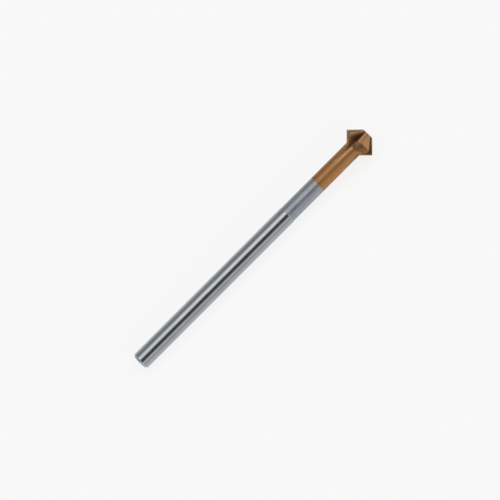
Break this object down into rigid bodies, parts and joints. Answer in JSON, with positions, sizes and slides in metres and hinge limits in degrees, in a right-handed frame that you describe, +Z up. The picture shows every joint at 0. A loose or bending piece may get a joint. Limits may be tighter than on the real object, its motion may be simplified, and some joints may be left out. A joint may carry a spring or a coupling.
{
  "type": "countersink bit",
  "caption": "Straight-shank countersink bit whose fluted head has a cutting cone in front and another behind, for chamfering both edges of a hole.",
  "frame": {"origin": "middle of the footprint, on the surface the bit lies on", "axes": "+X runs from the shank end towards the cutting head, +Z up; the bit's axis rises by about 1.4 degrees towards the head because the head is larger than the shank"},
  "size_m": [0.1702, 0.0182, 0.0182],
  "materials": {
    "tool_steel": "ground bright on the shank, matt on the neck, bronze-coloured hard coating on the head"
  },
  "bodies": {
    "root": {"countersink_bit": "tool_steel"}
  },
  "joints": []
}
